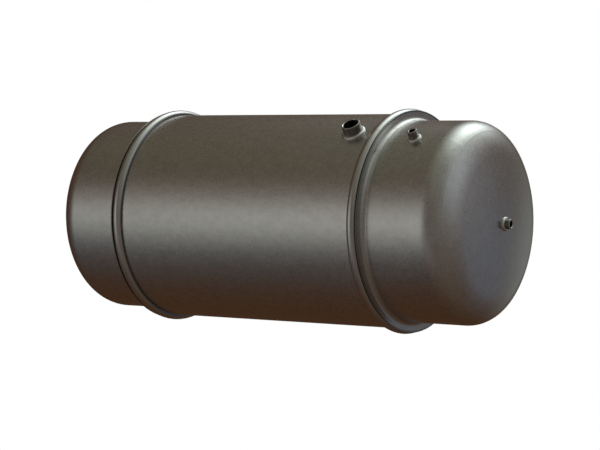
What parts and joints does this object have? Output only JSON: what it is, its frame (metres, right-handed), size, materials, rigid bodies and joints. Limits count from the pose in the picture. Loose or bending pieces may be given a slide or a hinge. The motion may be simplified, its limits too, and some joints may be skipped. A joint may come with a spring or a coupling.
{
  "type": "double-walled tank",
  "caption": "Horizontal steel tank with dished heads, a beaded jacket around its middle and short threaded pipe sockets",
  "frame": {"origin": "on the tank's axis, half way between its two heads: the middle of the two plain ends that straps hold", "axes": "+X along the tank's axis to the head with the socket, +Z the way the sockets on the tank's back point"},
  "size_m": [1.5092, 0.6708, 0.704],
  "materials": {
    "vessel": "fine bead-blasted satin",
    "jacket": "fine bead-blasted satin",
    "ring": "smooth satin",
    "weld": "dressed weld metal",
    "socket": "turned, satin"
  },
  "bodies": {
    "root": {"inner_shell": "vessel", "inner_shell_seam_weld": "weld", "front_head": "vessel", "rear_head": "vessel", "front_girth_weld": "weld", "rear_girth_weld": "weld", "jacket_shell": "jacket", "jacket_seam_weld": "weld", "front_bead_ring": "ring", "rear_bead_ring": "ring", "front_closure_ring": "ring", "rear_closure_ring": "ring", "front_crease_weld": "weld", "rear_crease_weld": "weld", "front_foot_weld": "weld", "rear_foot_weld": "weld", "flow_socket": "socket", "flow_socket_weld": "weld", "return_socket": "socket", "return_socket_weld": "weld", "top_socket": "socket", "top_socket_weld": "weld", "head_socket": "socket", "head_socket_weld": "weld"}
  },
  "joints": []
}
